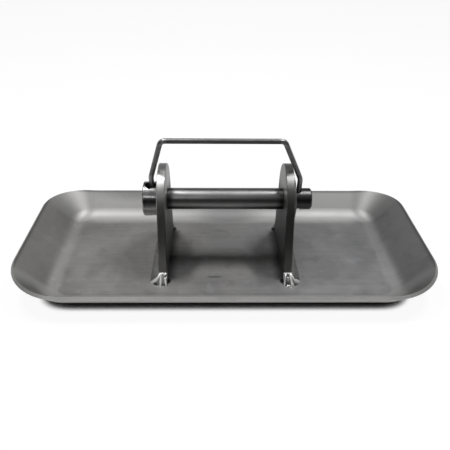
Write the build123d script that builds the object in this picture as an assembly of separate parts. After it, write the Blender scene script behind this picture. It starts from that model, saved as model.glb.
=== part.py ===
from build123d import *
import os
from math import atan2, cos, hypot, acos, radians, sin, tan

# Pin-on foot pad for a drop leg: a pressed steel tray with two welded clevis ears, a cross pin with
# a collar, and a wire bail that keeps the pin in place.
# Frame: origin at the middle of the underside, +X along the tray and the pin, +Z up. Millimetres.

os.makedirs("parts", exist_ok=True)

# ---- pressed tray ----
SHEET = 4.0                     # plate thickness
FLOOR_HALF_X = 200.3            # inner floor to wall corner line, half length
FLOOR_HALF_Y = 91.3             # inner floor to wall corner line, half width
FLOOR_CORNER_R = 23.0           # plan radius of that line
WALL_FLARE = 45.0               # wall angle from vertical
BEND_R = 28.0                   # inner radius of the bend from floor to wall
BLANK_HALF_X = 272.9            # the blank's edge, produced down to floor level, square to the wall
BLANK_HALF_Y = 144.3
BLANK_CORNER_R = 85.0
PRESS_TOP = 52.0                # how high the press surfaces are carried before the blank trims them
EDGE_BREAK = 0.6                # deburred edges of sawn and cropped parts

# ---- clevis ears ----
PIN_Z = SHEET + 79.2            # pin axis above the ground face
EAR_GAP = 136.0                 # clear space between the ears
EAR_T = 9.5                     # ear plate thickness
EAR_BASE_HALF = 56.6            # half width where the ear stands on the floor
EAR_TOP_R = 41.7                # round head, concentric with the pin
BOSS_R = 26.0                   # wear ring on the right ear
BOSS_T = 3.8

# ---- pin, collar and bail ----
PIN_D = 25.4
PIN_FIT = 0.08                  # radial running clearance in the ears
PIN_LEFT, PIN_RIGHT = -96.0, 101.5
END_CHAMFER = 1.6
COLLAR_D = 40.5
COLLAR_LEN = 18.0
BAIL_TILT = 10.0                # the cross holes and the bail lean this far forward of upright
COLLAR_HOLE_D = 13.0            # cross hole that the fixed leg of the bail rides in
COLLAR_HOLE_X = -87.3
LATCH_HOLE_D = 7.6              # cross hole that the free leg of the bail drops into
LATCH_HOLE_X = 86.2
GROOVE_X0, GROOVE_X1 = 83.6, 88.6
GROOVE_DEPTH = 0.7
WIRE_D = 6.0
FIXED_LEG_X = -85.4
BAIL_TOP = 80.2                 # wire centre line out from the pin axis
BAIL_TOP_LEFT, BAIL_TOP_RIGHT = -71.6, 64.4
FIXED_KINK, LATCH_KINK = 32.0, 29.5
BAIL_CORNER_R = 6.5
BAIL_KINK_R = 14.0
WIRE_END_LEFT = -12.0           # leg ends, from the pin axis
WIRE_END_RIGHT = -11.0

# ---- welds ----
BEAD_LEG = 11.0                 # fillet leg on the floor and on the ear
BEAD_CROWN = 1.3                # how far the bead's face stands out past its chord

FLOOR_Z = SHEET
EAR_IN = EAR_GAP / 2
EAR_OUT = EAR_IN + EAR_T


def save(piece, name):
    export_step(piece, f"parts/{name}.step")


def flared_block(half_x, half_y, corner_r, z0, z1, flare):
    """Rounded rectangle at z0, grown (flare > 0) or shrunk evenly on the way up to z1."""
    with BuildPart() as block:
        with BuildSketch(Plane.XY.offset(z0)):
            RectangleRounded(2 * half_x, 2 * half_y, corner_r)
        extrude(amount=z1 - z0, taper=-flare)
    return block.part


def pressed_face(grow, z0, bend_r):
    """One side of the pressed plate as a solid: flat floor at z0, bend, and flaring wall."""
    block = flared_block(FLOOR_HALF_X + grow, FLOOR_HALF_Y + grow, FLOOR_CORNER_R + grow,
                         z0, PRESS_TOP, WALL_FLARE)
    floor_edges = block.faces().sort_by(Axis.Z)[0].edges()
    return fillet(floor_edges, bend_r)


# The sheet lies between two press surfaces that are one thickness apart everywhere. Measured along
# the ground, the outer one starts further in by the wall's run less the sheet's slant width.
outer_grow = SHEET / cos(radians(WALL_FLARE)) - SHEET * tan(radians(WALL_FLARE))
sheet = pressed_face(outer_grow, 0, BEND_R + SHEET) - pressed_face(0, FLOOR_Z, BEND_R)
# The blank is cropped square to the wall. It is an oblong, so the ends of the rim stand higher than
# the sides, and the rim climbs through each corner.
blank = flared_block(BLANK_HALF_X + SHEET, BLANK_HALF_Y + SHEET, BLANK_CORNER_R + SHEET,
                     0, PRESS_TOP, -WALL_FLARE)
pan = sheet & blank
save(pan, "pan")


# ---- ears ----
# The side lines leave the foot of the ear and run tangent onto the round head.
foot_to_pin = hypot(EAR_BASE_HALF, PIN_Z - FLOOR_Z)
tangent_dir = acos(EAR_TOP_R / foot_to_pin) - atan2(PIN_Z - FLOOR_Z, EAR_BASE_HALF)
tangent_y = EAR_TOP_R * cos(tangent_dir)
tangent_z = PIN_Z + EAR_TOP_R * sin(tangent_dir)
side_lean = tan(tangent_dir)    # inward run of the ear's edge per unit of height


def ear(x_inner, x_outer):
    with BuildPart() as plate:
        with BuildSketch(Plane.YZ.offset(min(x_inner, x_outer))):
            with BuildLine():
                Line((-EAR_BASE_HALF, FLOOR_Z), (EAR_BASE_HALF, FLOOR_Z))
                Line((EAR_BASE_HALF, FLOOR_Z), (tangent_y, tangent_z))
                ThreePointArc((tangent_y, tangent_z), (0, PIN_Z + EAR_TOP_R), (-tangent_y, tangent_z))
                Line((-tangent_y, tangent_z), (-EAR_BASE_HALF, FLOOR_Z))
            make_face()
            with Locations((0, PIN_Z)):
                Circle(PIN_D / 2 + PIN_FIT, mode=Mode.SUBTRACT)
        extrude(amount=EAR_T)
        # cropped plate: the long outline is deburred on both faces, the foot stays square
        rims = plate.edges().filter_by(lambda e: e.center().Z > FLOOR_Z + 1
                                       and abs(e.center().X - x_inner - (x_outer - x_inner) / 2) > 4
                                       and hypot(e.center().Y, e.center().Z - PIN_Z) > 20)
        chamfer(rims, EDGE_BREAK)
    return plate.part


save(ear(-EAR_IN, -EAR_OUT), "left_ear")
save(ear(EAR_IN, EAR_OUT), "right_ear")

with BuildPart() as boss:
    with BuildSketch(Plane.YZ.offset(EAR_OUT)):
        with Locations((0, PIN_Z)):
            Circle(BOSS_R)
            Circle(PIN_D / 2 + PIN_FIT, mode=Mode.SUBTRACT)
    extrude(amount=BOSS_T)
    chamfer(boss.edges().filter_by(GeomType.CIRCLE).group_by(Axis.X)[-1], 0.8)
save(boss.part, "right_boss_ring")


# ---- fillet welds round the foot of each ear ----
def bead_profile(plane, lean=0.0):
    """Bead section: u runs away from the plate and v up it; the plate's face leans back by lean."""
    leg = BEAD_LEG
    crown = leg / 2 + BEAD_CROWN * 0.707
    with BuildSketch(plane) as section:
        with BuildLine():
            Line((0, 0), (leg, 0))
            Polyline((leg, 0), (crown - lean * leg / 2, crown), (-lean * leg, leg))
            Line((-lean * leg, leg), (0, 0))
        make_face()
    return section.sketch


def side_bead(side):
    """Straight bead along the outer face of an ear."""
    plane = Plane(origin=(side * EAR_OUT, -EAR_BASE_HALF * side, FLOOR_Z), x_dir=(side, 0, 0),
                  z_dir=(0, -side, 0))
    return extrude(bead_profile(plane), -2 * EAR_BASE_HALF)


def end_bead(side, end):
    """Bead across one end of an ear, turned round the outer corner to meet the side bead."""
    plane = Plane(origin=(side * EAR_IN, end * EAR_BASE_HALF, FLOOR_Z), x_dir=(0, end, 0),
                  z_dir=(end, 0, 0))
    across = extrude(bead_profile(plane, side_lean), side * end * EAR_T)
    corner = Axis((side * EAR_OUT, end * EAR_BASE_HALF, FLOOR_Z), (0, 0, 1))
    start = Plane(origin=corner.position, x_dir=(0, end, 0), z_dir=(end, 0, 0))
    turn = revolve(bead_profile(start), corner, -90 * side * end)
    return across + turn


for side, ear_name in ((-1, "left"), (1, "right")):
    save(side_bead(side), f"{ear_name}_side_bead")
    for end, end_name in ((-1, "front"), (1, "rear")):
        save(end_bead(side, end), f"{ear_name}_{end_name}_bead")


# ---- cross pin ----
# The bail and both cross holes share one plane through the pin axis: u along the pin, v outward.
bail_out = (0, -sin(radians(BAIL_TILT)), cos(radians(BAIL_TILT)))
bail_plane = Plane(origin=(0, 0, PIN_Z), x_dir=(1, 0, 0), z_dir=(0, -bail_out[2], bail_out[1]))


def cross_hole(x, diameter):
    """Cutter through the pin axis at x, along the legs of the bail."""
    drill = Plane(origin=(x, 0, PIN_Z), x_dir=(1, 0, 0), z_dir=bail_out)
    return extrude(drill * Circle(diameter / 2), amount=COLLAR_D, both=True)


with BuildPart() as shaft:
    with BuildSketch(Plane.YZ.offset(PIN_LEFT)):
        with Locations((0, PIN_Z)):
            Circle(PIN_D / 2)
    extrude(amount=PIN_RIGHT - PIN_LEFT)
    chamfer(shaft.edges().filter_by(GeomType.CIRCLE), END_CHAMFER)
    with BuildSketch(Plane.YZ.offset(GROOVE_X0)):
        with Locations((0, PIN_Z)):
            Circle(PIN_D)
            Circle(PIN_D / 2 - GROOVE_DEPTH, mode=Mode.SUBTRACT)
    extrude(amount=GROOVE_X1 - GROOVE_X0, mode=Mode.SUBTRACT)
save(shaft.part - cross_hole(COLLAR_HOLE_X, COLLAR_HOLE_D) - cross_hole(LATCH_HOLE_X, LATCH_HOLE_D),
     "pin_shaft")

with BuildPart() as collar:
    with BuildSketch(Plane.YZ.offset(PIN_LEFT)):
        with Locations((0, PIN_Z)):
            Circle(COLLAR_D / 2)
            Circle(PIN_D / 2, mode=Mode.SUBTRACT)
    extrude(amount=COLLAR_LEN)
    chamfer(collar.edges().filter_by(GeomType.CIRCLE).filter_by(lambda e: e.radius > PIN_D / 2 + 1), 1.2)
save(collar.part - cross_hole(COLLAR_HOLE_X, COLLAR_HOLE_D), "pin_collar")


# ---- wire bail ----
# One bent wire: both ends point at the pin, the legs splay out past the ears, and the top bar is the
# grip. The legs turn down only once they are clear of the ears' round heads.
bail_points = [bail_plane.from_local_coords(Vector(u, v, 0)) for u, v in (
    (FIXED_LEG_X, WIRE_END_LEFT),
    (FIXED_LEG_X, FIXED_KINK),
    (BAIL_TOP_LEFT, BAIL_TOP),
    (BAIL_TOP_RIGHT, BAIL_TOP),
    (LATCH_HOLE_X, LATCH_KINK),
    (LATCH_HOLE_X, WIRE_END_RIGHT),
)]
with BuildPart() as bail:
    with BuildLine() as route:
        FilletPolyline(*bail_points, radius=[BAIL_KINK_R, BAIL_CORNER_R, BAIL_CORNER_R, BAIL_KINK_R])
    with BuildSketch(Plane(origin=bail_points[0], z_dir=bail_out)):
        Circle(WIRE_D / 2)
    sweep()
    chamfer(bail.faces().sort_by(Axis.Z)[:2].edges(), 0.8)
save(bail.part, "bail_wire")
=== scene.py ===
import math

import bpy
import bmesh
from mathutils import Matrix, Vector, noise


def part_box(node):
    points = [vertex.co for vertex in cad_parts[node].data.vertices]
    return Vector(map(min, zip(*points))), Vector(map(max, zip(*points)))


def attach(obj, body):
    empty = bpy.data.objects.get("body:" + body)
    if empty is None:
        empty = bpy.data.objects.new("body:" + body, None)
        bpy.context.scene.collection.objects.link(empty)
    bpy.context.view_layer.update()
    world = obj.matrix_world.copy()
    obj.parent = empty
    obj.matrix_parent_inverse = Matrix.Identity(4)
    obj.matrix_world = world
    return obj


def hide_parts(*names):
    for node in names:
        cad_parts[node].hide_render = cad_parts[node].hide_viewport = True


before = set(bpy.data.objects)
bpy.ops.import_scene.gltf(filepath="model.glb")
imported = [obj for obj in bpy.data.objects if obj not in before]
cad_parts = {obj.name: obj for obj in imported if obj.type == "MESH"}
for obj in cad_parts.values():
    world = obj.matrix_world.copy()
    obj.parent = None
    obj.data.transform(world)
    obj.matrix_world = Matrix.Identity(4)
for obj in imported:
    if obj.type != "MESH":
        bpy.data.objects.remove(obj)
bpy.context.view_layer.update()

# ---------------------------------------------------------------- sizes, in metres
MM = 0.001
PLATE_TOP = 4.0 * MM                # inner floor of the tray
RIM_SIDE = 148.3 * MM               # on the rim's cut face: distance out to the side, plus height
RIM_END = 276.9 * MM                # the same for the two ends of the tray
BEAD_LEG = 11.0 * MM                # weld fillets, on the floor and on the ear
EAR_EDGE_LEAN = math.tan(math.radians(10.19))   # inward run of an ear's edge per unit of height
BAIL_TILT = math.radians(10.0)      # how far the bail leans to the front
WIRE_RADIUS = 3.0 * MM

ear_low, ear_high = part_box("right_ear")
EAR_INNER, EAR_OUTER, EAR_FOOT = ear_low[0], ear_high[0], ear_high[1]
pin_low, pin_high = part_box("pin_shaft")
PIN_Z = (pin_low[2] + pin_high[2]) / 2
GRIP_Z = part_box("bail_wire")[1][2] - WIRE_RADIUS    # centre line of the bail's top bar


# ---------------------------------------------------------------- node helpers
def put(tree, value, socket):
    """Set a plain value on a socket, or link another node's output to it."""
    if isinstance(value, bpy.types.NodeSocket):
        tree.links.new(value, socket)
    else:
        socket.default_value = value


def calc(tree, operation, a, b=None, c=None, clamp=False):
    node = tree.nodes.new("ShaderNodeMath")
    node.operation = operation
    node.use_clamp = clamp
    for socket, value in zip(node.inputs, (a, b, c)):
        if value is not None:
            put(tree, value, socket)
    return node.outputs[0]


def vector_calc(tree, operation, a, b=None, output=0):
    node = tree.nodes.new("ShaderNodeVectorMath")
    node.operation = operation
    put(tree, a, node.inputs[0])
    if b is not None:
        put(tree, b, node.inputs[1])
    return node.outputs[output]


def overlap(tree, mask, *others):
    """High only where every mask is high."""
    for other in others:
        mask = calc(tree, "MULTIPLY", mask, other)
    return mask


def fade(tree, value, start, end):
    """0 at start, 1 at end, with soft shoulders; start may be the larger number."""
    node = tree.nodes.new("ShaderNodeMapRange")
    node.interpolation_type = "SMOOTHSTEP"
    tree.links.new(value, node.inputs["Value"])
    node.inputs["From Min"].default_value = min(start, end)
    node.inputs["From Max"].default_value = max(start, end)
    node.inputs["To Min"].default_value = 0.0 if start < end else 1.0
    node.inputs["To Max"].default_value = 1.0 if start < end else 0.0
    return node.outputs[0]


def mix(tree, factor, a, b, blend="MIX"):
    """Mix two colours; each is a socket or three plain numbers."""
    node = tree.nodes.new("ShaderNodeMix")
    node.data_type = "RGBA"
    node.blend_type = blend
    put(tree, factor, node.inputs["Factor"])
    put(tree, a if isinstance(a, bpy.types.NodeSocket) else (*a, 1), node.inputs["A"])
    put(tree, b if isinstance(b, bpy.types.NodeSocket) else (*b, 1), node.inputs["B"])
    return node.outputs["Result"]


def cloud(tree, place, scale, detail=3.0, roughness=0.55):
    node = tree.nodes.new("ShaderNodeTexNoise")
    put(tree, place, node.inputs["Vector"])
    put(tree, scale, node.inputs["Scale"])
    node.inputs["Detail"].default_value = detail
    node.inputs["Roughness"].default_value = roughness
    return node.outputs["Fac"]


def object_place(tree):
    return tree.nodes.new("ShaderNodeTexCoord").outputs["Object"]


def surface_normal(tree):
    return tree.nodes.new("ShaderNodeNewGeometry").outputs["Normal"]


def axes(tree, vector):
    """The X, Y and Z of a vector, as three sockets."""
    node = tree.nodes.new("ShaderNodeSeparateXYZ")
    tree.links.new(vector, node.inputs[0])
    return tuple(node.outputs)


def new_group(name, inputs, outputs):
    group = bpy.data.node_groups.new(name, "ShaderNodeTree")
    for label, default in inputs:
        kind = "NodeSocketVector" if isinstance(default, tuple) else "NodeSocketFloat"
        socket = group.interface.new_socket(name=label, in_out="INPUT", socket_type=kind)
        socket.default_value = default
    for label in outputs:
        group.interface.new_socket(name=label, in_out="OUTPUT", socket_type="NodeSocketFloat")
    return group, group.nodes.new("NodeGroupInput"), group.nodes.new("NodeGroupOutput")


def use_group(tree, group, **values):
    """Place a group; an underscore in a value's name stands for the space in the input's label."""
    node = tree.nodes.new("ShaderNodeGroup")
    node.node_tree = group
    for label, value in values.items():
        put(tree, value, node.inputs[label.replace("_", " ")])
    return node.outputs


# ---------------------------------------------------------------- shared effects
def build_mill_scale():
    """Rolled steel: broad cloudy patches, long faint draw lines and a fine speckle."""
    group, source, sink = new_group(
        "mill_scale",
        [("Patch Scale", 14.0), ("Line Stretch", (6.0, 150.0, 60.0)), ("Speckle Scale", 420.0)],
        ["Patches", "Lines", "Speckle"])
    place = object_place(group)
    patches = cloud(group, place, source.outputs["Patch Scale"], detail=4.0)
    drawn_out = vector_calc(group, "MULTIPLY", place, source.outputs["Line Stretch"])
    lines = cloud(group, drawn_out, 1.0, roughness=0.6)
    speckle = cloud(group, place, source.outputs["Speckle Scale"], detail=2.0)
    group.links.new(patches, sink.inputs["Patches"])
    group.links.new(lines, sink.inputs["Lines"])
    group.links.new(speckle, sink.inputs["Speckle"])
    return group


def build_edge_wear():
    """Bare line where a corner has rubbed: high where a rounded normal leaves the true one."""
    group, source, sink = new_group("edge_wear", [("Width", 1.2 * MM), ("Gain", 3.0)], ["Mask"])
    rounded = group.nodes.new("ShaderNodeBevel")
    rounded.samples = 6
    group.links.new(source.outputs["Width"], rounded.inputs["Radius"])
    match = vector_calc(group, "DOT_PRODUCT", rounded.outputs[0], surface_normal(group), "Value")
    away = calc(group, "SUBTRACT", 1.0, match)
    mask = calc(group, "MULTIPLY", away, source.outputs["Gain"], clamp=True)
    group.links.new(mask, sink.inputs["Mask"])
    return group


def build_ragged_spot():
    """Soft-edged mark round one point of the piece, with a ragged outline."""
    group, source, sink = new_group(
        "ragged_spot",
        [("Centre", (0.0, 0.0, 0.0)), ("Shape", (1.0, 1.0, 1.0)), ("Radius", 4.0 * MM), ("Ragged", 0.5)],
        ["Mask"])
    place = object_place(group)
    offset = vector_calc(group, "SUBTRACT", place, source.outputs["Centre"])
    stretched = vector_calc(group, "DIVIDE", offset, source.outputs["Shape"])
    far = vector_calc(group, "LENGTH", stretched, output="Value")
    reach = calc(group, "DIVIDE", far, source.outputs["Radius"])
    torn = calc(group, "SUBTRACT", cloud(group, place, 350.0), 0.5)
    reach = calc(group, "ADD", reach, calc(group, "MULTIPLY", torn, source.outputs["Ragged"]))
    group.links.new(fade(group, reach, 1.15, 0.35), sink.inputs["Mask"])
    return group


mill_scale = build_mill_scale()
edge_wear = build_edge_wear()
ragged_spot = build_ragged_spot()

# ---------------------------------------------------------------- steel, under way
WORN_ROUGHNESS = 0.35
BUMP_DEPTH = 0.08 * MM


def grey(value):
    return (value, value, value)


class Steel:
    """One material under way: its colour so far, with marks laid over it in turn.

    tones: the darkest and the lightest colour of the mill scale.
    stretch: how the draw lines are squeezed along X, Y and Z; they run along the smallest number.
    line_depth: how much darker and lighter the draw lines make the colour.
    """

    def __init__(self, name, tones, metallic, roughness, patch_scale, stretch, line_depth,
                 speckle_scale=420.0, rough_swing=0.12):
        self.material = bpy.data.materials.new(name)
        self.material.use_nodes = True
        self.tree = self.material.node_tree
        self.shader = self.tree.nodes["Principled BSDF"]
        self.shader.inputs["Metallic"].default_value = metallic
        self.scale = use_group(self.tree, mill_scale, Patch_Scale=patch_scale, Line_Stretch=stretch,
                               Speckle_Scale=speckle_scale)
        self.colour = mix(self.tree, fade(self.tree, self.scale["Patches"], 0.32, 0.68), *tones)
        self.tint(1.0, mix(self.tree, fade(self.tree, self.scale["Lines"], 0.25, 0.75),
                           grey(1.0 - line_depth), grey(1.0 + line_depth)))
        self.rough = calc(self.tree, "MULTIPLY_ADD", self.scale["Patches"], rough_swing,
                          roughness - rough_swing / 2)

    def tint(self, mask, colour):
        """Multiply what is there by a colour, where the mask is high."""
        self.colour = mix(self.tree, mask, self.colour, colour, "MULTIPLY")

    def lay(self, mask, colour, strength=1.0, rough=None):
        """Lay a colour, and a roughness if given, over what is there, where the mask is high."""
        mask = calc(self.tree, "MULTIPLY", mask, strength, clamp=True)
        self.colour = mix(self.tree, mask, self.colour, colour)
        if rough is not None:
            change = calc(self.tree, "MULTIPLY", mask, calc(self.tree, "SUBTRACT", rough, self.rough))
            self.rough = calc(self.tree, "ADD", self.rough, change)

    def wear(self, colour, width, gain):
        """Lay bare metal along the rubbed edges."""
        mask = use_group(self.tree, edge_wear, Width=width, Gain=gain)["Mask"]
        self.lay(mask, colour, rough=WORN_ROUGHNESS)

    def spot(self, centre, radius, colour, shape=(1.0, 1.0, 1.0), strength=1.0, ragged=0.5, rough=None):
        """Lay a mark round one point; shape is its size along X, Y and Z, in radii."""
        mask = use_group(self.tree, ragged_spot, Centre=centre, Shape=shape, Radius=radius,
                         Ragged=ragged)["Mask"]
        self.lay(mask, colour, strength, rough)

    def finish(self, bump, bump_of="Speckle"):
        """Link what has been laid to the shader, with one of the mill scale's masks as relief."""
        tree = self.tree
        tree.links.new(self.colour, self.shader.inputs["Base Color"])
        tree.links.new(self.rough, self.shader.inputs["Roughness"])
        rise = tree.nodes.new("ShaderNodeBump")
        rise.inputs["Strength"].default_value = bump
        rise.inputs["Distance"].default_value = BUMP_DEPTH
        tree.links.new(self.scale[bump_of], rise.inputs["Height"])
        tree.links.new(rise.outputs[0], self.shader.inputs["Normal"])
        return self.material


# ---------------------------------------------------------------- the tray's plate
PLATE_TONES = ((0.235, 0.234, 0.234), (0.310, 0.307, 0.302))
PLATE_METALLIC = 0.82
OLD_SCALE, WIPED_PLATE = grey(0.17), (0.36, 0.36, 0.365)
WARM_TINT, COOL_TINT = (1.02, 0.995, 0.975), (0.985, 0.995, 1.015)
BEND_PAINTED_HIGHLIGHT = (0.40, 0.398, 0.394)
FLOOR_PAINTED_HIGHLIGHT = (0.50, 0.498, 0.493)
MID_BEND_PAINTED_SHADE, FAR_WALL_PAINTED_SHADE = grey(0.19), grey(0.16)
LEFT_END_PAINTED_LIGHT, RIGHT_END_PAINTED_SHADE = grey(1.24), grey(0.87)
EAR_PAINTED_SHADOW = (0.035, 0.035, 0.036)
RIM_DARK_BAND = grey(0.13)
FRONT_WALL_PAINTED_SHADE = grey(0.075)
BARE_RIM = (0.60, 0.59, 0.58)
OUTER_WALL_PAINTED_LIGHT = (0.46, 0.46, 0.455)
WORN_RIM = (0.60, 0.60, 0.59)
WELD_END_DARK = grey(0.015)

# scuffs on the floor between the ears: X, Y, radius, grey, size along X and Y in radii, strength
SCUFFS = (
    (-12.6 * MM, -49.0 * MM, 4.5 * MM, 0.11, (2.4, 0.62), 0.7),
    (-6.0 * MM, 53.0 * MM, 5.0 * MM, 0.14, (3.2, 0.55), 0.4),
    (-26.0 * MM, 47.0 * MM, 4.0 * MM, 0.15, (3.0, 0.60), 0.3),
)
SIDE_PULL = 2.4                     # leans the direction from the middle towards the long sides


class TrayPlace:
    """Sockets that say where a point of the tray is and which way its face looks.

    width and depth are the distances from the middle. face_z is 1 on the floor, 0.71 on the inside
    of a wall and -0.71 on its outside. outward is above 0 where the face looks away from the middle
    of the tray: on the cut rim and on the outside of the walls.
    """

    def __init__(self, tree):
        place = object_place(tree)
        self.x, self.y, self.z = axes(tree, place)
        self.width = calc(tree, "ABSOLUTE", self.x)
        self.depth = calc(tree, "ABSOLUTE", self.y)
        normal = surface_normal(tree)
        self.face_x, self.face_y, self.face_z = axes(tree, normal)
        leaned = vector_calc(tree, "MULTIPLY", place, (1.0, SIDE_PULL, 0.0))
        away = vector_calc(tree, "NORMALIZE", leaned)
        self.outward = vector_calc(tree, "DOT_PRODUCT", away, normal, "Value")
        self.inside = fade(tree, self.outward, 0.1, -0.1)


def lay_mill_blotches(steel, at):
    """Old scale and wiped patches, a little warmer on the left of the tray than on the right."""
    tree = steel.tree
    blotch = cloud(tree, object_place(tree), 30.0, detail=5.0, roughness=0.65)
    steel.lay(fade(tree, blotch, 0.50, 0.66), OLD_SCALE, 0.42)
    steel.lay(fade(tree, blotch, 0.44, 0.32), WIPED_PLATE, 0.5)
    steel.tint(1.0, mix(tree, fade(tree, at.x, -220 * MM, 220 * MM), WARM_TINT, COOL_TINT))


def lay_bend_and_wall_light(steel, at):
    """Painted light and shade on the bends, on the floor by the rear bend and on the walls."""
    tree = steel.tree
    # painted highlight on the bend, strongest along the long sides
    long_side = fade(tree, calc(tree, "ABSOLUTE", at.face_y), 0.01, 0.14)
    bend_highlight = calc(tree, "MULTIPLY_ADD", long_side, 0.5, 0.3)
    steel.lay(overlap(tree, fade(tree, at.face_z, 0.9999, 0.983), bend_highlight), BEND_PAINTED_HIGHLIGHT)
    # and a painted highlight on the floor along the foot of the rear bend
    foot = overlap(tree, fade(tree, at.y, 69 * MM, 80 * MM), fade(tree, at.width, 200 * MM, 170 * MM))
    steel.lay(overlap(tree, foot, fade(tree, at.face_z, 0.97, 0.995)), FLOOR_PAINTED_HIGHLIGHT, 0.75)
    # painted shade on the middle of the rear bend, where its highlight is weaker
    steel.spot((6 * MM, 89 * MM, PLATE_TOP + 3 * MM), 30 * MM, MID_BEND_PAINTED_SHADE, (1.7, 0.6, 1.0),
               strength=0.6, ragged=0.2)
    # painted light on the left end wall and painted shade on the right one
    steel.tint(fade(tree, at.face_x, 0.01, 0.38), LEFT_END_PAINTED_LIGHT)
    steel.tint(fade(tree, at.face_x, -0.2, -0.7), RIGHT_END_PAINTED_SHADE)
    # painted shade on the far wall, left of the middle
    steel.spot((-115 * MM, 113 * MM, 32 * MM), 50 * MM, FAR_WALL_PAINTED_SHADE, (1.6, 0.5, 0.28),
               strength=0.55, ragged=0.3)


def lay_ear_shadow(steel, at):
    """Painted shadow on the floor beside the inner faces of the ears."""
    tree = steel.tree
    beside = overlap(tree, fade(tree, at.width, EAR_INNER - 13 * MM, EAR_INNER),
                     fade(tree, at.width, EAR_INNER + 9 * MM, EAR_INNER + 2 * MM),
                     fade(tree, at.depth, EAR_FOOT + 3 * MM, EAR_FOOT - 8 * MM))
    steel.lay(beside, EAR_PAINTED_SHADOW, 0.85)


def lay_rim_shade_and_light(steel, at):
    """A dark band inside the rim, painted shade inside the front wall, bare metal on the cut face,
    painted light on the outer wall, and wear on the edges.
    """
    tree = steel.tree
    # a darker band just inside the rim
    to_side = fade(tree, calc(tree, "ADD", at.depth, at.z), RIM_SIDE - 6.8 * MM, RIM_SIDE - 0.8 * MM)
    to_end = fade(tree, calc(tree, "ADD", at.width, at.z), RIM_END - 6.9 * MM, RIM_END - 0.9 * MM)
    near_rim = calc(tree, "MAXIMUM", to_side, to_end)
    steel.lay(overlap(tree, near_rim, at.inside), RIM_DARK_BAND, 0.7)
    # painted shade inside the front wall and its corners
    sheltered = overlap(tree, fade(tree, at.face_y, 0.10, 0.50), at.inside,
                        fade(tree, at.z, 10 * MM, 24 * MM))
    steel.lay(sheltered, FRONT_WALL_PAINTED_SHADE, 0.72)
    # the cut face of the rim looks up and outward, and is barer than the pressed faces
    cut = overlap(tree, fade(tree, at.outward, 0.25, 0.45), fade(tree, at.face_z, 0.3, 0.5))
    grain = fade(tree, cloud(tree, object_place(tree), 45.0, detail=4.0), 0.30, 0.70)
    nicked = calc(tree, "MULTIPLY_ADD", grain, 0.35, 0.5)
    steel.lay(overlap(tree, cut, nicked), BARE_RIM, rough=0.5)
    satin = calc(tree, "MULTIPLY_ADD", cut, -0.42, PLATE_METALLIC)
    tree.links.new(satin, steel.shader.inputs["Metallic"])
    # painted light on the outside of the wall, lightest near the rim
    painted_light = overlap(tree, fade(tree, at.face_z, -0.2, -0.5), fade(tree, at.z, 12 * MM, 28 * MM))
    steel.lay(painted_light, OUTER_WALL_PAINTED_LIGHT, 0.95, 0.5)
    steel.wear(WORN_RIM, 1.0 * MM, 1.6)


def lay_floor_marks(steel):
    """Scuffs between the ears, and a dark spot at each end of each weld."""
    for x, y, radius, tone, (long, wide), strength in SCUFFS:
        steel.spot((x, y, PLATE_TOP), radius, grey(tone), (long, wide, 1.0), strength)
    # a dark spot at each corner of each ear's foot
    for side in (-1, 1):
        for end in (-1, 1):
            foot = (side * (EAR_INNER - 1.0 * MM), end * (EAR_FOOT + 0.5 * MM), PLATE_TOP)
            steel.spot(foot, 4.2 * MM, WELD_END_DARK, (0.9, 1.5, 1.0), rough=0.8)


def tray_steel():
    steel = Steel("rolled_tray_plate", PLATE_TONES, metallic=PLATE_METALLIC, roughness=0.51,
                  patch_scale=14.0, stretch=(12.0, 380.0, 90.0), line_depth=0.055)
    at = TrayPlace(steel.tree)
    lay_mill_blotches(steel, at)
    lay_bend_and_wall_light(steel, at)
    lay_ear_shadow(steel, at)
    lay_rim_shade_and_light(steel, at)
    lay_floor_marks(steel)
    # rolling leaves the surface smoother along the tray than across it
    steel.shader.inputs["Anisotropic"].default_value = 0.45
    across = steel.tree.nodes.new("ShaderNodeCombineXYZ")
    across.inputs["Y"].default_value = 1.0
    steel.tree.links.new(across.outputs[0], steel.shader.inputs["Tangent"])
    return steel.finish(bump=0.12)


# ---------------------------------------------------------------- ears and wear ring
# the left ear's plate is a lighter copy of the right one's: painted light for its brighter head
LEFT_EAR_LIT_TONES, LEFT_EAR_SCALE_AND_SHADE = ((0.62, 0.62, 0.617), (0.78, 0.778, 0.772)), (0.20, 0.198, 0.195)
RIGHT_EAR_TONES, RIGHT_EAR_SCALE_AND_SHADE = ((0.27, 0.27, 0.262), (0.36, 0.358, 0.348)), (0.12, 0.118, 0.114)
LEFT_INNER_SHADE, RIGHT_INNER_SHADE = 0.32, 0.07
INNER_FACE_SHADE = grey(0.04)
WORN_EAR = (0.45, 0.45, 0.445)
BORE_SHADE = (0.07, 0.07, 0.072)
EAR_FOOT_DARK = grey(0.02)


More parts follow.
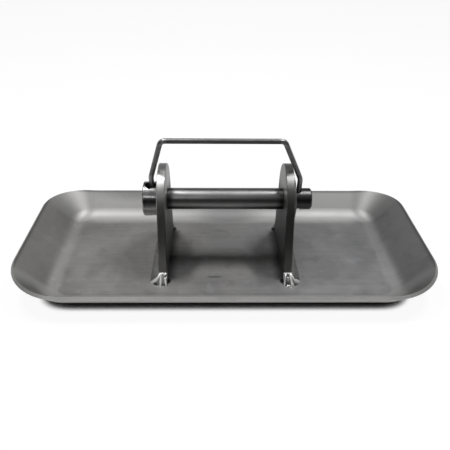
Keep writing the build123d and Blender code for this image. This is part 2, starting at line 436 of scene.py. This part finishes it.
def ear_steel(name, tones, scale_and_shade, inner_shade):
    """inner_shade: how dark the painted shade on the inner face is above the pin, from 0 to 0.8."""
    steel = Steel(name, tones, metallic=0.9, roughness=0.44, patch_scale=38.0,
                  stretch=(60.0, 60.0, 9.0), line_depth=0.12)
    tree = steel.tree
    x, y, z = axes(tree, object_place(tree))
    face_x = axes(tree, surface_normal(tree))[0]
    # the head is bare; lower down, mill scale and painted shade darken it, so the head's highlight stays
    # high
    ragged_z = calc(tree, "MULTIPLY_ADD", steel.scale["Patches"], 16 * MM, z)
    steel.lay(fade(tree, ragged_z, PIN_Z + 24 * MM, PIN_Z + 6 * MM), scale_and_shade, 0.85, 0.5)
    # painted shade on the flame-cut edge, further up in front and all over at the rear
    edge = fade(tree, calc(tree, "ABSOLUTE", face_x), 0.7, 0.4)
    edge_shade = calc(tree, "MAXIMUM", fade(tree, ragged_z, PIN_Z + 46 * MM, PIN_Z + 33 * MM),
                fade(tree, y, -16 * MM, -5 * MM))
    steel.lay(overlap(tree, edge, edge_shade), scale_and_shade, 0.75)
    # painted shade on the inner faces, where x times face_x is below 0, darkest towards the floor
    inner = fade(tree, calc(tree, "MULTIPLY", face_x, x), -0.02, -0.05)
    towards_floor = fade(tree, z, PIN_Z + 8 * MM, PIN_Z - 25 * MM)
    dark = calc(tree, "MULTIPLY_ADD", towards_floor, 0.8 - inner_shade, inner_shade)
    steel.lay(overlap(tree, inner, dark), INNER_FACE_SHADE)
    steel.wear(WORN_EAR, 0.8 * MM, 0.8)
    for side in (-1, 1):
        # painted shade round the bore, where the pin comes through
        bore = (side * EAR_INNER, 0.0, PIN_Z)
        steel.spot(bore, 17.5 * MM, BORE_SHADE, (0.3, 1.0, 1.0), strength=0.85, ragged=0.25, rough=0.6)
        # a dark spot at each corner of the ear's foot
        for end in (-1, 1):
            foot = (side * EAR_INNER, end * EAR_FOOT, PLATE_TOP)
            steel.spot(foot, 5.0 * MM, EAR_FOOT_DARK, (1.0, 1.0, 1.2), ragged=0.4, rough=0.8)
    return steel.finish(bump=0.25)


# ---------------------------------------------------------------- pin and collar
BAR_TONES = ((0.37, 0.37, 0.372), (0.44, 0.44, 0.438))
PIN_RIGHT_SHADE = grey(0.20)
PIN_UNDERSIDE_SHADE, PIN_SHADE_BY_EARS = grey(0.10), grey(0.06)
COLLAR_TONES = ((0.31, 0.31, 0.31), (0.41, 0.41, 0.408))
WORN_BAR = grey(0.60)


def pin_steel():
    steel = Steel("bright_drawn_bar", BAR_TONES, metallic=1.0, roughness=0.33, patch_scale=30.0,
                  stretch=(5.0, 260.0, 260.0), line_depth=0.13)
    tree = steel.tree
    x, _, z = axes(tree, object_place(tree))
    # painted shade, darker towards the bar's right end
    steel.lay(fade(tree, x, -20 * MM, 70 * MM), PIN_RIGHT_SHADE, 0.6)
    # and painted shade underneath and beside the ears
    steel.lay(fade(tree, z, PIN_Z - 3 * MM, PIN_Z - 7 * MM), PIN_UNDERSIDE_SHADE, 0.85)
    from_middle = calc(tree, "ABSOLUTE", x)
    steel.lay(fade(tree, from_middle, EAR_INNER - 9 * MM, EAR_INNER - 2 * MM), PIN_SHADE_BY_EARS, 0.8)
    steel.wear(WORN_BAR, 0.8 * MM, 1.0)
    return steel.finish(bump=0.12, bump_of="Lines")


def collar_steel():
    steel = Steel("turned_collar", COLLAR_TONES, metallic=1.0, roughness=0.24, patch_scale=60.0,
                  stretch=(900.0, 12.0, 12.0), line_depth=0.16)
    steel.wear(WORN_BAR, 0.9 * MM, 1.6)
    return steel.finish(bump=0.2, bump_of="Lines")


# ---------------------------------------------------------------- bail
WIRE_TONES = ((0.26, 0.26, 0.26), (0.34, 0.34, 0.338))
GRIP_UNDERSIDE_SHADE = grey(0.07)
BEND_GLINT = grey(0.72)

# the bail's four bends: place along the pin, distance out from the pin's axis, strength of its painted
# highlight
BAIL_BENDS = (
    (-71.6 * MM, 80.2 * MM, 0.70),
    (64.4 * MM, 80.2 * MM, 0.70),
    (-85.4 * MM, 31.0 * MM, 0.63),
    (86.2 * MM, 29.0 * MM, 0.56),
)


def wire_steel():
    steel = Steel("drawn_wire", WIRE_TONES, metallic=0.85, roughness=0.36, patch_scale=45.0,
                  stretch=(10.0, 300.0, 300.0), line_depth=0.12)
    tree = steel.tree
    _, _, z = axes(tree, object_place(tree))
    # painted shade under the grip
    under_grip = overlap(tree, fade(tree, z, GRIP_Z, GRIP_Z - 1.4 * MM),
                         fade(tree, z, GRIP_Z - 4.5 * MM, GRIP_Z - 3.0 * MM))
    steel.lay(under_grip, GRIP_UNDERSIDE_SHADE, 0.85)
    # a painted highlight on each bend
    for x, out, painted_light in BAIL_BENDS:
        bend = (x, -out * math.sin(BAIL_TILT), PIN_Z + out * math.cos(BAIL_TILT))
        steel.spot(bend, 6.5 * MM, BEND_GLINT, strength=painted_light, ragged=0.6, rough=0.32)
    return steel.finish(bump=0.15)


# ---------------------------------------------------------------- weld metal
BRIGHT_WELD_TONES = ((0.30, 0.30, 0.30), (0.46, 0.46, 0.455))
DULL_WELD_TONES = ((0.26, 0.26, 0.258), (0.36, 0.36, 0.355))
STRAND_GLINT = (0.90, 0.90, 0.89)
PIT_SHADE = grey(0.06)


def bead_layer(tree, name):
    """A value that the bead's mesh carries on each of its points."""
    node = tree.nodes.new("ShaderNodeAttribute")
    node.attribute_name = name
    return node.outputs["Fac"]


def weld_steel(name, tones, metallic, roughness):
    steel = Steel(name, tones, metallic, roughness, patch_scale=240.0, stretch=(300.0, 300.0, 300.0),
                  line_depth=0.08, speckle_scale=900.0, rough_swing=0.1)
    tree = steel.tree
    # painted highlight: the strands are pale and satin, less of a mirror than the rest
    strand = fade(tree, bead_layer(tree, "strand"), 0.25, 0.8)
    steel.lay(strand, STRAND_GLINT, rough=0.34)
    satin = calc(tree, "MULTIPLY_ADD", strand, -0.6, metallic)
    tree.links.new(satin, steel.shader.inputs["Metallic"])
    # painted shade in the pits
    steel.lay(fade(tree, bead_layer(tree, "pit"), 0.2, 0.8), PIT_SHADE, 0.9, 0.6)
    return steel.finish(bump=0.1)


def dress(node, material):
    for slot in bpy.data.objects[node].material_slots:
        slot.material = material


dress("pan", tray_steel())
dress("left_ear", ear_steel("left_ear_plate", LEFT_EAR_LIT_TONES, LEFT_EAR_SCALE_AND_SHADE, LEFT_INNER_SHADE))
dress("right_ear", ear_steel("right_ear_plate", RIGHT_EAR_TONES, RIGHT_EAR_SCALE_AND_SHADE, RIGHT_INNER_SHADE))
dress("right_boss_ring", ear_steel("wear_ring_plate", RIGHT_EAR_TONES, RIGHT_EAR_SCALE_AND_SHADE, RIGHT_INNER_SHADE))
dress("pin_shaft", pin_steel())
dress("pin_collar", collar_steel())
dress("bail_wire", wire_steel())
bright_weld = weld_steel("bright_weld_metal", BRIGHT_WELD_TONES, metallic=0.9, roughness=0.34)
dull_weld = weld_steel("dull_weld_metal", DULL_WELD_TONES, metallic=0.8, roughness=0.46)

# ---------------------------------------------------------------- weld beads
# A bead is a stack of slices along the foot of the ear. Each slice runs from the ear down to the floor.
SLICE_ROWS = 16
END_SLICES, SIDE_SLICES = 64, 220
CHORD = BEAD_LEG * math.sqrt(2.0)
SUNK = 0.2 * MM                     # how far a bead's root and toe reach into the floor
LEG_LOSS = 0.07                     # share of the leg that is missing where the bead is thinnest
LEG_WAVES = 160.0                   # noise steps per metre for the bead's uneven edge
RIPPLE_PITCH = 2.6 * MM
RIPPLE_LEAD = 1.3 * MM              # how far the middle of a ripple runs ahead of its two ends
GRAIN_ALONG, GRAIN_DOWN = 320.0, 4.0    # noise steps per metre of bead, and over the way down its face
SEED_DRIFT = 0.37                   # sets the seeds apart in the third direction of the noise
RIDGE_FULLNESS = 0.6                # below 1, a ridge rises more steeply than the crown from its ends
PIT_STEEPNESS = 2.6                 # above 2, a pit has a flatter bottom and a steeper wall
SHARP_EDGE = math.radians(62)
SAME_POINT = 0.004 * MM


def bead_face(along, down, crown, ridges, pits, ripple, seed):
    """Height of the face past its chord at one place, and how far the place is a strand or a pit.

    down is the share of the way from the ear to the floor.
    """
    swell = 4.0 * down * (1.0 - down)
    stand = crown * swell
    strand = pit = 0.0
    for top, toe, width, height in ridges:
        centre = (top + (toe - top) * down) * MM
        near = math.exp(-((along - centre) / (width * MM)) ** 2)
        stand += height * MM * swell ** RIDGE_FULLNESS * near
        strand = max(strand, near)
    for place, drop, radius, depth in pits:
        far = math.hypot(along - place * MM, (down - drop) * CHORD) / (radius * MM)
        sunk = math.exp(-far ** PIT_STEEPNESS)
        stand -= depth * MM * sunk
        pit = max(pit, sunk)
    step = (along - RIPPLE_LEAD * swell) / RIPPLE_PITCH
    scale = step - math.floor(step)
    stand += ripple * swell * (1.0 - (2.0 * scale - 1.0) ** 2)
    rough = noise.noise(Vector((along * GRAIN_ALONG + seed, down * GRAIN_DOWN, seed * SEED_DRIFT)))
    return stand + ripple * swell * rough, strand * (1.0 - pit), pit


def bead_mesh(name, material, slices, crown, ridges, pits, ripple, seed):
    """slices: (distance along, foot point, outward direction, lean of the ear's edge)."""
    mesh = bpy.data.meshes.new(name)
    build = bmesh.new()
    strand_layer = build.verts.layers.float.new("strand")
    pit_layer = build.verts.layers.float.new("pit")
    rings = []
    for along, foot, out, lean in slices:
        uneven = 0.5 + 0.5 * noise.noise(Vector((along * LEG_WAVES, seed, 2.0)))
        leg = BEAD_LEG * (1.0 - LEG_LOSS * uneven)
        ring = [build.verts.new((foot[0], foot[1], PLATE_TOP - SUNK))]
        for row in range(SLICE_ROWS + 1):
            down = row / SLICE_ROWS
            stand, strand, pit = bead_face(along, down, crown, ridges, pits, ripple, seed)
            stand /= math.sqrt(2.0)
            reach = min(leg * down + stand, BEAD_LEG)
            rise = min(leg * (1.0 - down) + stand, BEAD_LEG)
            toe_drop = SUNK if row == SLICE_ROWS else 0.0
            vert = build.verts.new((foot[0] + out[0] * reach, foot[1] + out[1] * reach + lean * rise,
                                    PLATE_TOP + rise - toe_drop))
            vert[strand_layer] = strand
            vert[pit_layer] = pit
            ring.append(vert)
        rings.append(ring)
    for first, second in zip(rings, rings[1:]):
        for row in range(len(first)):
            after = (row + 1) % len(first)
            build.faces.new((first[row], first[after], second[after], second[row]))
    build.faces.new(rings[0])
    build.faces.new(rings[-1])
    bmesh.ops.remove_doubles(build, verts=build.verts, dist=SAME_POINT)
    bmesh.ops.recalc_face_normals(build, faces=build.faces)
    for face in build.faces:
        face.smooth = True
    build.to_mesh(mesh)
    build.free()
    mesh.set_sharp_from_angle(angle=SHARP_EDGE)
    mesh.materials.append(material)
    piece = bpy.data.objects.new(name, mesh)
    bpy.context.scene.collection.objects.link(piece)
    return piece


def end_slices(side, end):
    """Across the edge of the ear from its inner face, then a quarter turn to its outer face."""
    thick = EAR_OUTER - EAR_INNER
    turn = BEAD_LEG * math.pi / 4
    for step in range(END_SLICES + 1):
        along = (thick + turn) * step / END_SLICES
        if along <= thick:
            yield along, (side * (EAR_INNER + along), end * EAR_FOOT), (0.0, end), -end * EAR_EDGE_LEAN
        else:
            angle = (along - thick) / turn * math.pi / 2
            out = (side * math.sin(angle), end * math.cos(angle))
            yield along, (side * EAR_OUTER, end * EAR_FOOT), out, -end * EAR_EDGE_LEAN * math.cos(angle)


def side_slices(side):
    """Along the foot of the ear's outer face, from front to rear."""
    for step in range(SIDE_SLICES + 1):
        along = 2 * EAR_FOOT * step / SIDE_SLICES
        yield along, (side * EAR_OUTER, along - EAR_FOOT), (side, 0.0), 0.0


# ridges: where each one starts at the ear and ends at the toe, its width and its height, in millimetres
# pits: place along in millimetres, share of the way down, radius and depth in millimetres
END_BEADS = {
    ("left", "front"): ([(7.6, 15.4, 2.2, 2.0), (3.6, 0.4, 1.5, 1.9), (7.0, 7.4, 1.3, 0.9)],
                        [(2.2, 0.30, 1.3, 1.3), (11.6, 0.86, 1.7, 1.3), (3.9, 0.88, 1.4, 1.2)]),
    ("right", "front"): ([(3.2, 0.2, 1.0, 1.7), (6.8, 9.8, 1.5, 1.8), (8.4, 15.9, 2.2, 2.3)],
                         [(5.0, 0.78, 1.9, 2.0), (5.3, 0.25, 1.1, 1.6), (13.6, 0.45, 1.8, 1.0)]),
    ("left", "rear"): ([(2.4, 1.0, 1.3, 1.4), (6.5, 8.2, 1.5, 1.5), (9.6, 15.0, 1.6, 1.5)],
                       [(4.6, 0.70, 1.5, 1.2), (12.4, 0.6, 1.6, 0.9)]),
    ("right", "rear"): ([(4.0, 2.0, 1.4, 1.5), (8.0, 11.0, 1.6, 1.6)],
                        [(6.2, 0.75, 1.4, 1.1), (14.0, 0.5, 1.6, 0.9)]),
}
END_CROWN, END_RIPPLE = 0.2 * MM, 0.14 * MM
SIDE_CROWN, SIDE_RIPPLE = 0.9 * MM, 0.2 * MM

# each bead has a seed of its own, so no two are uneven in the same way
for number, (hand, side) in enumerate((("left", -1), ("right", 1))):
    for place, end in (("front", -1), ("rear", 1)):
        ridges, pits = END_BEADS[hand, place]
        weld = bead_mesh(f"{hand}_{place}_weld", bright_weld, end_slices(side, end),
                         END_CROWN, ridges, pits, END_RIPPLE, seed=3.0 + 5.0 * number + 11.0 * end)
        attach(weld, "base")
        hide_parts(f"{hand}_{place}_bead")
    weld = bead_mesh(f"{hand}_side_weld", dull_weld, side_slices(side),
                     SIDE_CROWN, [], [], SIDE_RIPPLE, seed=31.0 + 7.0 * number)
    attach(weld, "base")
    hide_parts(f"{hand}_side_bead")

# ---------------------------------------------------------------- floor, light and camera
FLOOR_REACH = 9.0
FLOOR_DROP = 0.2 * MM               # the floor lies this far below the tray's underside
CARD_MATT = 0.11                    # share of the lamps' light that the card sends back
CARD_WHITE = 0.93                   # how white it looks to the eye
CONTACT_SHADOW_REACH = 14 * MM
CAMERA_PLACE = (-0.0118, -0.5608, 0.3954)
CAMERA_PITCH, CAMERA_YAW, CAMERA_ROLL = math.radians(31.91), math.radians(1.21), math.radians(-0.70)


def white_to_the_eye(tree):
    """The light path's sockets, and a mask of the rays that see the studio as plain white."""
    rays = tree.nodes.new("ShaderNodeLightPath").outputs
    return rays, calc(tree, "MAXIMUM", rays["Is Camera Ray"], rays["Is Transmission Ray"])


def build_floor():
    """White card that keeps a soft shadow, with a painted contact shadow right under the tray.

    For reflected rays it glows white only behind the tray and in a band along the front rim: a painted
    reflection.
    """
    mesh = bpy.data.meshes.new("studio_floor")
    corners = [(-1, -1), (1, -1), (1, 1), (-1, 1)]
    mesh.from_pydata([(x * FLOOR_REACH, y * FLOOR_REACH, -FLOOR_DROP) for x, y in corners], [],
                     [(0, 1, 2, 3)])
    floor = bpy.data.objects.new("studio_floor", mesh)
    bpy.context.scene.collection.objects.link(floor)
    material = bpy.data.materials.new("floor_card")
    material.use_nodes = True
    tree = material.node_tree
    tree.nodes.clear()
    out = tree.nodes.new("ShaderNodeOutputMaterial")
    matt = tree.nodes.new("ShaderNodeBsdfDiffuse")
    matt.inputs["Color"].default_value = (*grey(CARD_MATT), 1)
    lift = tree.nodes.new("ShaderNodeEmission")
    lift.inputs["Color"].default_value = (1, 1, 1, 1)
    contact_shadow = tree.nodes.new("ShaderNodeAmbientOcclusion")
    contact_shadow.inputs["Distance"].default_value = CONTACT_SHADOW_REACH
    contact_shadow.samples = 12
    rays, seen = white_to_the_eye(tree)
    _, y, _ = axes(tree, object_place(tree))
    # painted reflection: the card glows for reflected rays only behind the tray and in a band along the
    # front rim
    front_band = overlap(tree, fade(tree, y, -200 * MM, -140 * MM), fade(tree, y, -60 * MM, -100 * MM))
    bright = calc(tree, "MULTIPLY_ADD", fade(tree, y, 60 * MM, 220 * MM), 0.75, front_band)
    mirrored = overlap(tree, rays["Is Glossy Ray"], bright)
    white = calc(tree, "MULTIPLY", calc(tree, "MAXIMUM", seen, mirrored), CARD_WHITE)
    # painted contact shadow: the card's white fades where the tray hangs close over it
    lit = overlap(tree, white, fade(tree, contact_shadow.outputs["AO"], 0.31, 0.62))
    tree.links.new(lit, lift.inputs["Strength"])
    both = tree.nodes.new("ShaderNodeAddShader")
    tree.links.new(matt.outputs[0], both.inputs[0])
    tree.links.new(lift.outputs[0], both.inputs[1])
    tree.links.new(both.outputs[0], out.inputs["Surface"])
    mesh.materials.append(material)


def build_world():
    """White to the eye; round the object a dim room, darkest low down and lightest high up in front.

    The steel also mirrors a pale backdrop low down behind the tray.
    """
    world = bpy.data.worlds.new("studio")
    bpy.context.scene.world = world
    world.use_nodes = True
    tree = world.node_tree
    tree.nodes.clear()
    out = tree.nodes.new("ShaderNodeOutputWorld")
    fill = tree.nodes.new("ShaderNodeBackground")
    fill.inputs["Color"].default_value = (1, 1, 1, 1)
    _, y, z = axes(tree, tree.nodes.new("ShaderNodeTexCoord").outputs["Generated"])
    height = calc(tree, "MAXIMUM", z, 0.0)
    high = overlap(tree, height, height)
    room = calc(tree, "MULTIPLY_ADD", high, 0.06, 0.012)
    in_front = calc(tree, "MAXIMUM", calc(tree, "MULTIPLY", y, -1.0), 0.0)
    room = calc(tree, "MULTIPLY_ADD", overlap(tree, in_front, overlap(tree, high, high)), 0.70, room)
    rays, seen = white_to_the_eye(tree)
    backdrop = overlap(tree, fade(tree, y, 0.15, 0.6), fade(tree, height, 0.45, 0.1))
    mirrored = overlap(tree, rays["Is Glossy Ray"], calc(tree, "MULTIPLY", backdrop, 0.6))
    strength = calc(tree, "MAXIMUM", seen, calc(tree, "ADD", room, mirrored))
    tree.links.new(strength, fill.inputs["Strength"])
    tree.links.new(fill.outputs[0], out.inputs["Surface"])


def soft_lamp(name, place, aim, width, depth, watts):
    lamp = bpy.data.lights.new(name, "AREA")
    lamp.shape = "RECTANGLE"
    lamp.size = width
    lamp.size_y = depth
    lamp.energy = watts
    holder = bpy.data.objects.new(name, lamp)
    holder.location = place
    holder.rotation_euler = (Vector(aim) - Vector(place)).to_track_quat("-Z", "Y").to_euler()
    bpy.context.scene.collection.objects.link(holder)


def build_lamps():
    """Two strips overhead, one past each end of the tray, and a faint one at the front left."""
    for side, x, width, watts in (("left", -0.45, 0.54, 9.1), ("right", 0.50, 0.48, 8.8)):
        soft_lamp(f"overhead_{side}", (x, 0.145, 1.45), aim=(0, 0, 0),
                  width=width, depth=0.10, watts=watts)
    soft_lamp("front_left_strip", (-0.46, -1.06, 0.98), aim=(-0.08, 0, 0.08),
              width=0.44, depth=0.07, watts=0.9)


def build_camera():
    """From the front, looking down on the tray by about a third of a right angle."""
    level_run = math.cos(CAMERA_PITCH)
    ahead = Vector((math.sin(CAMERA_YAW) * level_run, math.cos(CAMERA_YAW) * level_run,
                    -math.sin(CAMERA_PITCH)))
    level = Vector((math.cos(CAMERA_YAW), -math.sin(CAMERA_YAW), 0))
    upright = level.cross(ahead)
    right = math.cos(CAMERA_ROLL) * level - math.sin(CAMERA_ROLL) * upright
    up = math.sin(CAMERA_ROLL) * level + math.cos(CAMERA_ROLL) * upright
    lens = bpy.data.cameras.new("eye")
    lens.sensor_width = 36.0
    lens.lens = 43.2
    camera = bpy.data.objects.new("eye", lens)
    turn = Matrix((right, up, -ahead)).transposed().to_4x4()
    camera.matrix_world = Matrix.Translation(CAMERA_PLACE) @ turn
    bpy.context.scene.collection.objects.link(camera)
    bpy.context.scene.camera = camera


build_floor()
build_world()
build_lamps()
build_camera()

bpy.context.scene.view_settings.view_transform = "Standard"
